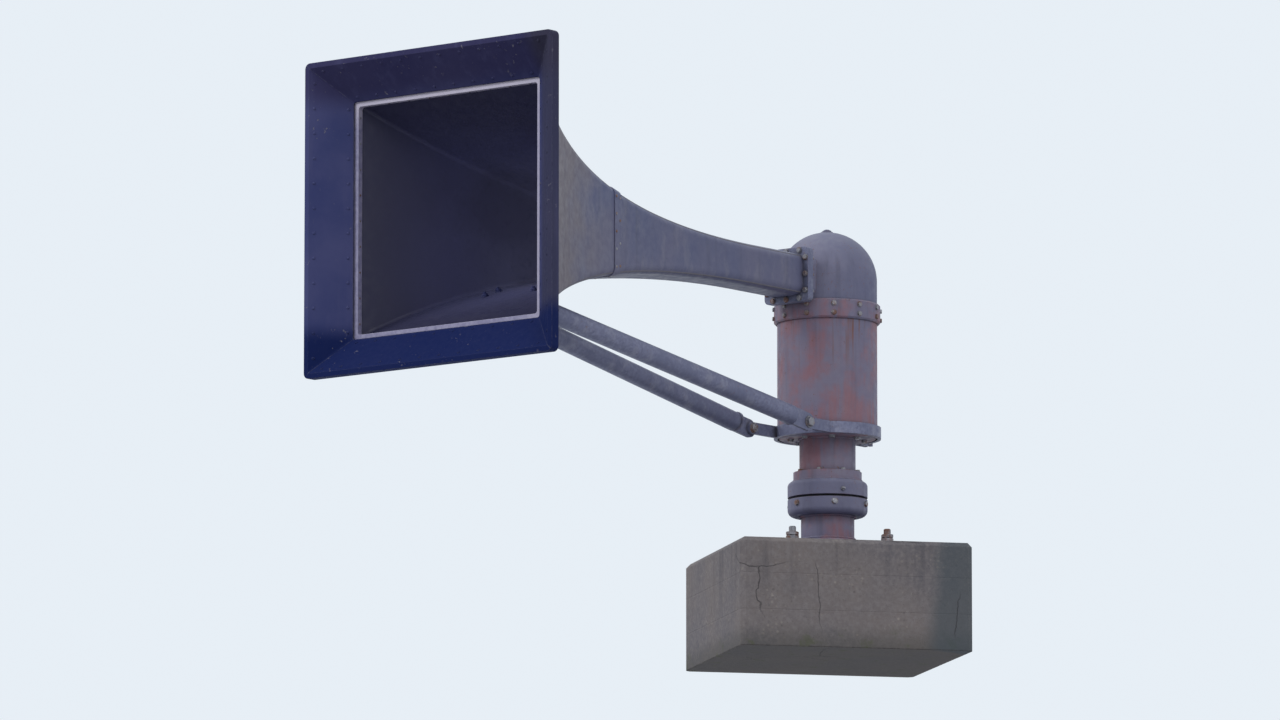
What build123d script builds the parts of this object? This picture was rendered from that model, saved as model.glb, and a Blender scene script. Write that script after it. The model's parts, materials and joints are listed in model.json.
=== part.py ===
from build123d import *
import math
import os

# A roof-top warning siren: a concrete plinth carries a standpipe and a swivel,
# and on the swivel turns a domed chopper and motor housing with one long square horn.
# The horn points to -Y, +Z is up, and the origin is the middle of the plinth's underside.
# All lengths are in millimetres and all angles in degrees.

# Plinth, turned against the horn's line as the roof is
plinth_side = 655
plinth_height = 300
plinth_yaw = 52
plinth_edge_chamfer = 12

# Base plate, standpipe and its foot ring
base_plate_width = 360
base_plate_thickness = 16
pipe_diameter = 148
pipe_wall = 8
pipe_length = 86
foot_ring_width = 18
foot_ring_height = 22

# Swivel: the fixed collar, its bearing ring and the turntable above them
collar_diameter = 222
collar_height = 46
collar_round = 18
bearing_ring_diameter = 186
bearing_ring_height = 6
bearing_clearance = 0.3
spigot_diameter = 110
spigot_clearance = 6
spigot_depth = 28
turntable_height = 45
turntable_round = 14

# Neck between the turntable and the housing
neck_diameter = 156
neck_wall = 8
neck_height = 119
neck_ring_width = 17
neck_ring_height = 26

# Motor and chopper housing
housing_radius = 139
housing_wall = 12
pan_height = 34
pan_round = 12
housing_band_width = 9
housing_band_height = 54
band_to_horn_axis = 62
horn_axis_rise = 439
dome_rise = 4
motor_radius = 92
motor_length = 250

# Chopper rotor inside the casing: a drum with ports, on the motor's shaft
rotor_radius = 104
rotor_height = 96
rotor_wall = 8
rotor_port_count = 8
rotor_port_width = 44
rotor_rim_height = 10
rotor_hub_radius = 26
shaft_radius = 16

# Horn: an outer half width that follows a catenary from the throat to the mouth break
mouth_reach = 1735
throat_half = 58.5
flare_length = 521
throat_distance = 1344
horn_wall = 8
corner_at_mouth = 16
corner_at_throat = 26
bell_joint_distance = 660
neck_end_gap = 34
bell_section_count = 8
neck_section_count = 6

# Mouth: a wide dished lip outside the break line, with a turned-back edge
mouth_half = 427
mouth_lip_depth = 78
lip_wall_across = 14
lip_return_depth = 28
bead_width = 16
bead_thickness = 5

# Throat flange at the housing
throat_flange_half = 76
throat_flange_thickness = 12
throat_flange_corner = 14

# Braces under the horn
brace_diameter = 54
brace_top_distance = 375
brace_top_spread = 60
brace_top_drop = 37
brace_foot_arm = 85
brace_foot_inset = 36
brace_foot_lift = 17
tongue_thickness = 10
tongue_width = 50
tongue_length = 70
tongue_overlap = 40
lug_thickness = 12
lug_radius = 28
pin_diameter = 16
pin_clearance = 0.1
pin_head_diameter = 30
pin_head_height = 10
saddle_thickness = 8
saddle_length = 96
saddle_side_margin = 40
yoke_band_height = 32
yoke_band_thickness = 10
yoke_gap = 8
yoke_ear_thickness = 10
yoke_ear_depth = 30

# Heights worked out from the sizes above
base_plate_top = plinth_height + base_plate_thickness
collar_bottom = base_plate_top + pipe_length
collar_top = collar_bottom + collar_height
ring_top = collar_top + bearing_ring_height
turntable_bottom = ring_top + bearing_clearance
turntable_top = turntable_bottom + turntable_height
housing_bottom = turntable_top + neck_height
horn_axis_height = housing_bottom + horn_axis_rise
band_top = horn_axis_height - band_to_horn_axis
band_bottom = band_top - housing_band_height
dome_centre_height = horn_axis_height + dome_rise
pan_top = housing_bottom + pan_height
motor_top = housing_bottom + housing_wall + motor_length
brace_foot_height = housing_bottom + brace_foot_lift
brace_foot_reach = housing_radius + brace_foot_arm
brace_foot_spread = housing_radius - brace_foot_inset
neck_end_distance = mouth_reach - housing_radius - neck_end_gap


def place(x, y, z):
    return Location((x, y, z))


def disc(radius, bottom, height):
    """A solid cylinder on the turning axis."""
    return place(0, 0, bottom) * Cylinder(
        radius, height, align=(Align.CENTER, Align.CENTER, Align.MIN)
    )


def tube(outer_radius, inner_radius, bottom, height):
    """A hollow cylinder on the turning axis."""
    return disc(outer_radius, bottom, height) - disc(inner_radius, bottom, height)


def turned(points, rounded=None, rounding=0):
    """A solid of revolution about the turning axis, from radius and height pairs.

    The pair named as rounded is the corner that gets an arc of the given radius.
    """
    outline = make_face(Polyline(*[(r, 0, z) for r, z in points], close=True))
    if rounded:
        corner = Vector(rounded[0], 0, rounded[1])
        nearest = min(outline.vertices(), key=lambda v: (v.center() - corner).length)
        outline = fillet(nearest, rounding)
    return revolve(outline, axis=Axis.Z)


def behind_mouth(distance):
    """The y of a point that lies this far behind the mouth's plane."""
    return distance - mouth_reach


def horn_half(distance):
    """Outer half width of the horn at a distance behind its mouth."""
    along = max(throat_distance - distance, 0)
    return throat_half * math.cosh(along / flare_length)


def horn_corner(distance):
    """Outer corner radius of the horn at a distance behind its mouth."""
    share = min(distance / throat_distance, 1)
    return corner_at_mouth + (corner_at_throat - corner_at_mouth) * share


def square_section(distance, half, corner):
    """A rounded square across the horn at a distance behind its mouth."""
    plane = Plane(
        origin=(0, behind_mouth(distance), horn_axis_height),
        x_dir=(1, 0, 0),
        z_dir=(0, 1, 0),
    )
    return plane * RectangleRounded(2 * half, 2 * half, corner)


def horn_body(start, end, steps, inset=0):
    """The horn's form between two distances, filled solid and drawn in by an inset."""
    sections = []
    for i in range(steps + 1):
        distance = start + (end - start) * i / steps
        half = horn_half(distance) - inset
        corner = horn_corner(distance) - inset
        sections.append(square_section(distance, half, corner))
    return loft(sections)


def make_plinth_block():
    block = Box(
        plinth_side,
        plinth_side,
        plinth_height,
        align=(Align.CENTER, Align.CENTER, Align.MIN),
    )
    edges = block.edges().filter_by(Axis.Z) + block.faces().sort_by(Axis.Z)[-1].edges()
    return Rot(0, 0, plinth_yaw) * chamfer(edges, plinth_edge_chamfer)


def make_base_plate():
    plate = place(0, 0, plinth_height) * Box(
        base_plate_width,
        base_plate_width,
        base_plate_thickness,
        align=(Align.CENTER, Align.CENTER, Align.MIN),
    )
    return Rot(0, 0, plinth_yaw) * plate


def make_standpipe():
    radius = pipe_diameter / 2
    return tube(radius, radius - pipe_wall, base_plate_top, pipe_length)


def make_foot_ring():
    radius = pipe_diameter / 2
    return turned(
        [
            (radius, base_plate_top),
            (radius + foot_ring_width, base_plate_top),
            (radius + foot_ring_width, base_plate_top + foot_ring_height / 2),
            (radius, base_plate_top + foot_ring_height),
        ]
    )


def make_swivel_collar():
    radius = collar_diameter / 2
    bore = spigot_diameter / 2 + spigot_clearance
    return turned(
        [
            (bore, collar_bottom),
            (radius, collar_bottom),
            (radius, collar_top),
            (bore, collar_top),
        ],
        rounded=(radius, collar_bottom),
        rounding=collar_round,
    )


def make_bearing_ring():
    bore = spigot_diameter / 2 + spigot_clearance
    return tube(bearing_ring_diameter / 2, bore, collar_top, bearing_ring_height)


def make_turntable():
    radius = collar_diameter / 2
    spigot = spigot_diameter / 2
    bore = spigot - neck_wall
    return turned(
        [
            (bore, turntable_bottom - spigot_depth),
            (spigot, turntable_bottom - spigot_depth),
            (spigot, turntable_bottom),
            (radius, turntable_bottom),
            (radius, turntable_top),
            (bore, turntable_top),
        ],
        rounded=(radius, turntable_top),
        rounding=turntable_round,
    )


def make_neck_tube():
    radius = neck_diameter / 2
    body = tube(radius, radius - neck_wall, turntable_top, neck_height)
    body += tube(radius + neck_ring_width, radius, turntable_top, neck_ring_height)
    return body


def make_housing_pan():
    return turned(
        [
            (0, housing_bottom),
            (housing_radius, housing_bottom),
            (housing_radius, pan_top),
            (housing_radius - housing_wall, pan_top),
            (housing_radius - housing_wall, housing_bottom + housing_wall),
            (0, housing_bottom + housing_wall),
        ],
        rounded=(housing_radius, housing_bottom),
        rounding=pan_round,
    )


def make_motor_housing():
    height = band_bottom - pan_top
    return tube(housing_radius, housing_radius - housing_wall, pan_top, height)


def make_motor():
    return disc(motor_radius, housing_bottom + housing_wall, motor_length)


def make_chopper_rotor():
    """The ported drum that chops the air, with its shaft down to the motor."""
    bottom = horn_axis_height - rotor_height / 2
    top = bottom + rotor_height
    rotor = tube(rotor_radius, rotor_radius - rotor_wall, bottom, rotor_height)
    port_height = rotor_height - 2 * rotor_rim_height
    for i in range(rotor_port_count):
        port = place(rotor_radius, 0, horn_axis_height) * Box(
            4 * rotor_wall, rotor_port_width, port_height
        )
        rotor -= Rot(0, 0, i * 360 / rotor_port_count) * port
    rotor += disc(rotor_radius - rotor_wall, bottom, rotor_wall)
    rotor += disc(rotor_hub_radius, bottom, rotor_height)
    return rotor + disc(shaft_radius, motor_top, top - motor_top)


def make_housing_band():
    outer = housing_radius + housing_band_width
    lip = housing_band_width / 2
    return turned(
        [
            (housing_radius - housing_wall, band_bottom),
            (outer - lip, band_bottom),
            (outer, band_bottom + lip),
            (outer, band_top - lip),
            (outer - lip, band_top),
            (housing_radius - housing_wall, band_top),
        ]
    )


def domed_body(radius):
    """A cylinder from the band's top to the dome's centre, with half a ball on it."""
    diagonal = radius * math.sqrt(0.5)
    crown = (0, 0, dome_centre_height + radius)
    haunch = (diagonal, 0, dome_centre_height + diagonal)
    shoulder = (radius, 0, dome_centre_height)
    straight = Polyline(crown, (0, 0, band_top), (radius, 0, band_top), shoulder)
    rounded = ThreePointArc(shoulder, haunch, crown)
    return revolve(make_face(straight.edges() + rounded.edges()), axis=Axis.Z)


def throat_bore():
    """The square air way through the casing's front wall."""
    return horn_body(neck_end_distance, mouth_reach, 1, horn_wall)


def make_chopper_casing():
    shell = domed_body(housing_radius) - domed_body(housing_radius - housing_wall)
    boss = horn_body(neck_end_distance + throat_flange_thickness, mouth_reach, 1)
    boss -= domed_body(housing_radius - housing_wall)
    return (shell + boss) - throat_bore()


def make_throat_flange():
    start = neck_end_distance - throat_flange_thickness
    end = neck_end_distance + throat_flange_thickness
    half = throat_flange_half
    plate = square_frustum(start, half, end, half, throat_flange_corner)
    plate -= horn_body(start, neck_end_distance, 1)
    plate -= horn_body(neck_end_distance, end, 1, horn_wall)
    return plate


def neck_body(inset=0):
    """The horn from the bell joint through its narrowest stretch to the throat flange."""
    flared = horn_body(bell_joint_distance, throat_distance, neck_section_count, inset)
    return flared + horn_body(throat_distance, neck_end_distance, 1, inset)


def bell_body(inset=0):
    """The horn from the lip's break line back to the bell joint."""
    return horn_body(mouth_lip_depth, bell_joint_distance, bell_section_count, inset)


def square_frustum(start, start_half, end, end_half, corner):
    """A straight square body between two distances behind the mouth."""
    return loft([square_section(start, start_half, corner), square_section(end, end_half, corner)])


def lip_shell():
    """The dished lip from the break line to the mouth, with its turned-back edge."""
    break_half = horn_half(mouth_lip_depth)
    inner_corner = corner_at_mouth - horn_wall
    dish = square_frustum(0, mouth_half, mouth_lip_depth, break_half, corner_at_mouth)
    hollow = square_frustum(
        0,
        mouth_half - lip_wall_across,
        mouth_lip_depth,
        break_half - lip_wall_across,
        inner_corner,
    )
    edge = square_frustum(0, mouth_half, lip_return_depth, mouth_half, corner_at_mouth)
    edge -= square_frustum(
        0, mouth_half - horn_wall, lip_return_depth, mouth_half - horn_wall, inner_corner
    )
    return (dish - hollow) + (edge - hollow)


def panels(name, shell):
    """Cuts a square shell round the horn's axis into four panels with mitred corners."""
    reach = 2 * mouth_reach
    outline = make_face(Polyline((0, 0), (-reach, reach), (reach, reach), close=True))
    wedge = extrude(Plane.XZ * outline, reach, both=True)
    cut = {}
    for side, turn in (("top", 0), ("right", 90), ("bottom", 180), ("left", 270)):
        cut[f"{name}_{side}"] = shell & (place(0, 0, horn_axis_height) * Rot(0, turn, 0) * wedge)
    return cut


def make_mouth_bead():
    """The slim angle trim that covers the break between lip and bell, inside the mouth."""
    start = mouth_lip_depth + bead_thickness
    end = start + bead_width
    outer = bell_body(horn_wall) & square_frustum(
        start, mouth_half, end, mouth_half, corner_at_mouth
    )
    half = horn_half(end) - horn_wall - bead_thickness
    return outer - square_frustum(start, half, end, half, corner_at_mouth - horn_wall)


def brace_top(side):
    distance = brace_top_distance
    height = horn_axis_height - horn_half(distance) - brace_top_drop
    return Vector(side * brace_top_spread, behind_mouth(distance), height)


def brace_foot(side):
    return Vector(side * brace_foot_spread, -brace_foot_reach, brace_foot_height)


def brace_slope():
    """The angle of a brace below the level, seen from the side."""
    run = brace_foot(1) - brace_top(1)
    return math.degrees(math.atan2(run.Z, run.Y))


def cross_pin(point, radius, length, start):
    """A cylinder along X that begins at x = start and passes through a point."""
    rod = Cylinder(radius, length, rotation=(0, 90, 0))
    return place(start + length / 2, point.Y, point.Z) * rod


def make_tongue(point, towards):
    """A flat eye plate at a brace's end, which runs from its pin along the brace."""
    length = tongue_length + tongue_overlap
    plate = place(0, towards * length / 2, 0) * Box(tongue_thickness, length, tongue_width)
    plate += Cylinder(tongue_width / 2, tongue_thickness, rotation=(0, 90, 0))
    plate -= Cylinder(pin_diameter / 2 + pin_clearance, tongue_thickness * 2, rotation=(0, 90, 0))
    return place(point.X, point.Y, point.Z) * Rot(brace_slope(), 0, 0) * plate


def make_brace(side):
    top = brace_top(side)
    foot = brace_foot(side)
    direction = (foot - top).normalized()
    start = top + direction * tongue_length
    end = foot - direction * tongue_length
    length = (end - start).length
    plane = Plane(origin=(start.X, start.Y, start.Z), z_dir=(direction.X, direction.Y, direction.Z))
    rod = plane * Cylinder(
        brace_diameter / 2, length, align=(Align.CENTER, Align.CENTER, Align.MIN)
    )
    return rod + make_tongue(top, 1) + make_tongue(foot, -1)


def pin_hole(point, inner_x):
    """The cutter for a pin's hole through the ear that begins at inner_x."""
    radius = pin_diameter / 2 + pin_clearance
    return cross_pin(point, radius, 3 * lug_thickness, inner_x - lug_thickness)


def lug(point, inner_x, height_up):
    """An upright ear beside a tongue, with its pin hole."""
    ear = cross_pin(point, lug_radius, lug_thickness, inner_x)
    middle = place(inner_x + lug_thickness / 2, point.Y, point.Z + height_up / 2)
    ear += middle * Box(lug_thickness, 2 * lug_radius, height_up)
    return ear - pin_hole(point, inner_x)


def inner_face(point, side):
    """Where the ear inside a tongue begins along X."""
    if side > 0:
        return point.X - tongue_thickness / 2 - lug_thickness
    return point.X + tongue_thickness / 2


def make_bell_saddle():
    """The pad under the bell with an ear for each brace."""
    top = brace_top(1)
    width = 2 * (brace_top_spread + saddle_side_margin)
    steepness = math.sinh((throat_distance - brace_top_distance) / flare_length)
    slope = math.degrees(math.atan(throat_half / flare_length * steepness))
    surface = top.Z + brace_top_drop
    pad = Box(width, saddle_length, 2 * saddle_thickness)
    saddle = place(0, top.Y, surface) * Rot(slope, 0, 0) * pad
    for side in (-1, 1):
        point = brace_top(side)
        saddle += lug(point, inner_face(point, side), brace_top_drop + lug_radius)
    return saddle - bell_body()


def make_brace_yoke():
    """The clamp band round the housing's foot, with an arm for each brace."""
    radius = housing_radius + yoke_band_thickness
    half = yoke_band_height / 2
    yoke = disc(radius, brace_foot_height - half, yoke_band_height)
    for side in (-1, 1):
        point = brace_foot(side)
        start = inner_face(point, side)
        yoke += cross_pin(point, half, lug_thickness, start)
        middle = place(start + lug_thickness / 2, point.Y / 2, point.Z)
        yoke += middle * Box(lug_thickness, abs(point.Y), yoke_band_height)
        yoke -= pin_hole(point, start)
    back = place(0, radius + yoke_ear_depth / 2, brace_foot_height)
    wide = yoke_gap + 2 * yoke_ear_thickness
    yoke += back * Box(wide, yoke_ear_depth + 2 * yoke_band_thickness, yoke_band_height)
    yoke -= back * Box(yoke_gap, yoke_ear_depth + 4 * yoke_band_thickness, yoke_band_height)
    return yoke - disc(housing_radius, brace_foot_height - half, yoke_band_height)


def make_pin(point, side):
    """A headed pin through a tongue and its ear."""
    inner = inner_face(point, side)
    if side < 0:
        inner = point.X - tongue_thickness / 2
    grip = tongue_thickness + lug_thickness
    pin = cross_pin(point, pin_diameter / 2, grip + 2 * pin_head_height, inner - pin_head_height)
    for start in (inner - pin_head_height, inner + grip):
        pin += cross_pin(point, pin_head_diameter / 2, pin_head_height, start)
    return pin


def make_parts():
    parts = {
        "plinth_block": make_plinth_block(),
        "base_plate": make_base_plate(),
        "standpipe": make_standpipe(),
        "standpipe_foot_ring": make_foot_ring(),
        "swivel_collar": make_swivel_collar(),
        "bearing_ring": make_bearing_ring(),
        "turntable": make_turntable(),
        "neck_tube": make_neck_tube(),
        "housing_pan": make_housing_pan(),
        "motor_housing": make_motor_housing(),
        "motor": make_motor(),
        "chopper_rotor": make_chopper_rotor(),
        "housing_band": make_housing_band(),
        "chopper_casing": make_chopper_casing(),
        "throat_flange": make_throat_flange(),
        "mouth_bead": make_mouth_bead(),
        "bell_saddle": make_bell_saddle(),
        "brace_yoke": make_brace_yoke(),
    }
    parts.update(panels("neck", neck_body() - neck_body(horn_wall)))
    parts.update(panels("bell", bell_body() - bell_body(horn_wall)))
    parts.update(panels("lip", lip_shell()))
    for name, side in (("left", -1), ("right", 1)):
        parts[f"brace_{name}"] = make_brace(side)
        parts[f"brace_top_pin_{name}"] = make_pin(brace_top(side), side)
        parts[f"brace_foot_pin_{name}"] = make_pin(brace_foot(side), side)
    return parts


os.makedirs("parts", exist_ok=True)
for node, shape in make_parts().items():
    export_step(shape, f"parts/{node}.step")
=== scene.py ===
import json
import math

import bmesh
import bpy
from mathutils import Matrix, Vector


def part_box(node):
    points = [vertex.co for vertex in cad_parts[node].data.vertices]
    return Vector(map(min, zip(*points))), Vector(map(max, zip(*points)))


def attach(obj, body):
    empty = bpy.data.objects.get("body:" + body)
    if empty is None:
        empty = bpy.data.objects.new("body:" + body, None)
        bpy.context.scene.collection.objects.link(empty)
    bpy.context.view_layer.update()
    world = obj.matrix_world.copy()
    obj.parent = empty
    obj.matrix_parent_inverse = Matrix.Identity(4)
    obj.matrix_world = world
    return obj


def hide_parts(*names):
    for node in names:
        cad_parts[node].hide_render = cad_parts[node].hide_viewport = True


# Dresses the roof-top warning siren: weathered paint, gelcoat, galvanised steel and concrete,
# with the welds, bolts, straps and seams that hold it together. Lengths are in metres.

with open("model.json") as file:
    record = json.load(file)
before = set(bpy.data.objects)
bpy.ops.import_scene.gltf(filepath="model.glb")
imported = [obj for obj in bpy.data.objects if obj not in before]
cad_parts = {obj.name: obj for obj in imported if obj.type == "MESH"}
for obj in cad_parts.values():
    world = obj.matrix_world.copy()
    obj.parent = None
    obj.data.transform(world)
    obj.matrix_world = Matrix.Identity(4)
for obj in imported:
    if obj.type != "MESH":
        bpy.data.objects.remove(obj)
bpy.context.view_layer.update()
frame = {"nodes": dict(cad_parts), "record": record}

BASE = "base"
HEAD = "head"
UP = Vector((0, 0, 1))
DOWN = -UP
FORWARD = Vector((0, -1, 0))
BACK = -FORWARD
RIGHT = Vector((1, 0, 0))
UPRIGHT = Matrix.Rotation(math.pi / 2, 4, "X")
FOUR_CORNERS = ((-1, -1), (1, -1), (1, 1), (-1, 1))

# The horn's law and the sizes that no box shows, as the solids have them
MOUTH_REACH = 1.735
THROAT_HALF = 0.0585
FLARE_LENGTH = 0.521
THROAT_DISTANCE = 1.344
HORN_WALL = 0.008
CORNER_AT_MOUTH = 0.016
CORNER_AT_THROAT = 0.026
BELL_JOINT = 0.660
LIP_DEPTH = 0.078
LIP_WALL_ACROSS = 0.014
BEAD_THICKNESS = 0.005
PLINTH_YAW = math.radians(52)
BRACE_TOP_DISTANCE = 0.375
BRACE_TUBE_END = 0.070
NECK_RADIUS = 0.078
NECK_RING_WIDTH = 0.017
NECK_RING_HEIGHT = 0.026

# The strap over the joint of bell and neck, and how deep a rivet's head sits in its face
STRAP_WIDTH = 0.036
STRAP_THICKNESS = 0.0026
RIVET_SINK = 0.0004

# Places read from the solids
plinth_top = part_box("plinth_block")[1].z
plate_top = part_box("base_plate")[1].z
collar_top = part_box("swivel_collar")[1].z
collar_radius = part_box("swivel_collar")[1].x
turntable_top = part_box("turntable")[1].z
housing_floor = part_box("housing_pan")[0].z
pan_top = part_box("housing_pan")[1].z
housing_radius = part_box("motor_housing")[1].x
band_low, band_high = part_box("housing_band")
casing_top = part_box("chopper_casing")[1].z
flange_front, flange_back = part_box("throat_flange")
yoke_low, yoke_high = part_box("brace_yoke")
horn_height = (flange_front.z + flange_back.z) / 2
mouth_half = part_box("lip_top")[1].z - horn_height
plate_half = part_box("base_plate")[1].x / (math.cos(PLINTH_YAW) + math.sin(PLINTH_YAW))
anchor_reach = plate_half - 0.045


def horn_half(distance):
    """Outer half width of the horn at a distance behind the mouth."""
    along = max(THROAT_DISTANCE - distance, 0)
    return THROAT_HALF * math.cosh(along / FLARE_LENGTH)


def horn_corner(distance):
    """Outer corner radius of the horn at a distance behind the mouth."""
    share = min(distance / THROAT_DISTANCE, 1)
    return CORNER_AT_MOUTH + (CORNER_AT_THROAT - CORNER_AT_MOUTH) * share


def horn_point(distance, across, up):
    """A point given from the horn's axis and the mouth's plane."""
    return Vector((across, distance - MOUTH_REACH, horn_height + up))


def shade(red, green, blue):
    """A colour written as it looks, from 0 to 255, as the linear colour that a shader takes."""
    linear = []
    for part in (red, green, blue):
        part = part / 255
        linear.append(part / 12.92 if part <= 0.04045 else ((part + 0.055) / 1.055) ** 2.4)
    return (*linear, 1)


class Shader:
    """A tree of shader nodes, with short ways to add nodes and to work with their values."""

    def __init__(self, tree):
        self.tree = tree
        self.tree.nodes.clear()
        self.place = self.add("ShaderNodeTexCoord").outputs

    def add(self, kind, sockets=None, **settings):
        """Adds a node with its settings and with what goes into its sockets."""
        node = self.tree.nodes.new(kind)
        for name, value in settings.items():
            setattr(node, name, value)
        for socket, value in (sockets or {}).items():
            self.feed(node.inputs[socket], value)
        return node

    def feed(self, socket, value):
        """Puts a number, a colour or another node's output on a socket."""
        if isinstance(value, bpy.types.NodeSocket):
            self.tree.links.new(value, socket)
        else:
            socket.default_value = value

    def between(self, value, low, high):
        """0 at low, 1 at high, and a smooth change between them."""
        sockets = {"Value": value, "From Min": low, "From Max": high}
        spread = self.add("ShaderNodeMapRange", sockets, interpolation_type="SMOOTHSTEP")
        return spread.outputs["Result"]

    def reckon(self, operation, first, *others):
        """An operation on numbers, taken one after the other."""
        for other in others:
            node = self.add("ShaderNodeMath", {0: first, 1: other}, operation=operation)
            first = node.outputs["Value"]
        return first

    def product(self, *values):
        return self.reckon("MULTIPLY", *values)

    def greatest(self, *values):
        return self.reckon("MAXIMUM", *values)

    def reverse(self, share):
        return self.reckon("SUBTRACT", 1.0, share)

    def vector(self, operation, *values):
        """An operation on vectors, whose length or dot product is a number."""
        node = self.add("ShaderNodeVectorMath", dict(enumerate(values)), operation=operation)
        return node.outputs["Value" if operation in ("LENGTH", "DOT_PRODUCT") else "Vector"]

    def part(self, vector, letter):
        """The X, Y or Z of a vector."""
        return self.add("ShaderNodeSeparateXYZ", {"Vector": vector}).outputs[letter]

    def mix(self, share, first, second, output):
        """Shader first where share is 0, and second where it is 1, as the tree's result."""
        both = self.add("ShaderNodeMixShader", {"Fac": share, 1: first, 2: second})
        self.add(output, {"Surface": both.outputs["Shader"]})


class Finish(Shader):
    """A surface finish over the object's own coordinates."""

    def __init__(self, name, roughness, metallic=0.0, shine=0.5, rounding=None):
        """Rounding softens the solids' sharp edges in the light that they catch."""
        self.material = bpy.data.materials.new(name)
        self.material.use_nodes = True
        super().__init__(self.material.node_tree)
        self.surface = self.add("ShaderNodeBsdfPrincipled", {
            "Roughness": roughness, "Metallic": metallic, "Specular IOR Level": shine,
        })
        self.add("ShaderNodeOutputMaterial", {"Surface": self.surface.outputs["BSDF"]})
        self.normal = None
        if rounding:
            self.bend(self.add("ShaderNodeBevel", {"Radius": rounding}, samples=6))

    def bend(self, node):
        """Turns the surface's normal as a bevel or bump node says."""
        self.normal = node.outputs["Normal"]
        self.feed(self.surface.inputs["Normal"], self.normal)

    def relief(self, height, depth, strength):
        """Adds a bump of this depth, on top of those before it."""
        sockets = {"Height": height, "Distance": depth, "Strength": strength}
        if self.normal:
            sockets["Normal"] = self.normal
        self.bend(self.add("ShaderNodeBump", sockets))

    def colour(self, value):
        self.feed(self.surface.inputs["Base Color"], value)

    def gloss(self, share, low, high):
        """Roughness from low to high as share goes from 0 to 1."""
        spread = self.add("ShaderNodeMapRange", {"Value": share, "To Min": low, "To Max": high})
        self.feed(self.surface.inputs["Roughness"], spread.outputs["Result"])

    def blend(self, share, first, second):
        """Colour first where share is 0, and second where it is 1."""
        sockets = {"Factor": share, 6: first, 7: second}
        return self.add("ShaderNodeMix", sockets, data_type="RGBA").outputs[2]

    def layers(self, ground, *coats):
        """Coats over a ground colour, each given as where it lies, how strongly, and its colour."""
        for share, strength, colour in coats:
            ground = self.blend(self.product(share, strength), ground, colour)
        return ground

    def mottle(self, size, detail=5, roughness=0.55, stretch=(1, 1, 1)):
        """Cloudy noise whose patches are about this many metres across."""
        place = self.add("ShaderNodeMapping", {"Vector": self.place["Object"], "Scale": stretch})
        noise = self.add("ShaderNodeTexNoise", {
            "Vector": place.outputs["Vector"],
            "Scale": 1 / size,
            "Detail": detail,
            "Roughness": roughness,
        })
        return noise.outputs["Fac"]

    def patches(self, size, low, high, **noise):
        """Cloudy noise cut to patches: 0 where it is under low, and 1 where it is over high."""
        return self.between(self.mottle(size, **noise), low, high)

    def grain(self, size, dark, light, **noise):
        """Colours the finish from dark to light by fine noise, and gives the noise back."""
        fine = self.mottle(size, **noise)
        self.colour(self.blend(fine, dark, light))
        return fine

    def cells(self, size, output="Distance", place=None, feature="F1"):
        """Cells about this many metres across, by default as the distance from their centres."""
        sockets = {"Scale": 1 / size, "Vector": place or self.place["Object"]}
        return self.add("ShaderNodeTexVoronoi", sockets, feature=feature).outputs[output]

    def spangle(self, size):
        """A random grey for each cell, as for the crystals of a zinc coat."""
        grey = self.add("ShaderNodeRGBToBW", {"Color": self.cells(size, "Color")})
        return grey.outputs["Val"]

    def cracks(self, size, wander):
        """1 along the winding lines of a net whose meshes are about this many metres across."""
        place = self.place["Object"]
        noise = self.add("ShaderNodeTexNoise", {"Vector": place, "Scale": 2 / size, "Detail": 5})
        strayed = self.vector("MULTIPLY_ADD", noise.outputs["Color"], (wander,) * 3, place)
        net = self.cells(size, place=strayed, feature="DISTANCE_TO_EDGE")
        return self.between(net, 0.007, 0.001)

    def axis(self, letter):
        """One of the object's own coordinates."""
        return self.part(self.place["Object"], letter)

    def upward(self, low, high):
        """1 where the surface looks up, and 0 on walls and below."""
        return self.between(self.part(self.place["Normal"], "Z"), low, high)

    def corners(self, reach):
        """The share of painted shade: 1 deep in a corner and 0 in the open."""
        open_sky = self.add("ShaderNodeAmbientOcclusion", {"Distance": reach}, samples=6)
        return self.between(open_sky.outputs["AO"], 0.95, 0.35)

    def edges(self, radius):
        """1 on a convex or concave edge and 0 on the flat."""
        soft = self.add("ShaderNodeBevel", {"Radius": radius}, samples=6)
        plain = self.add("ShaderNodeNewGeometry")
        likeness = self.vector("DOT_PRODUCT", soft.outputs["Normal"], plain.outputs["Normal"])
        return self.between(self.reverse(likeness), 0.02, 0.16)


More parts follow.
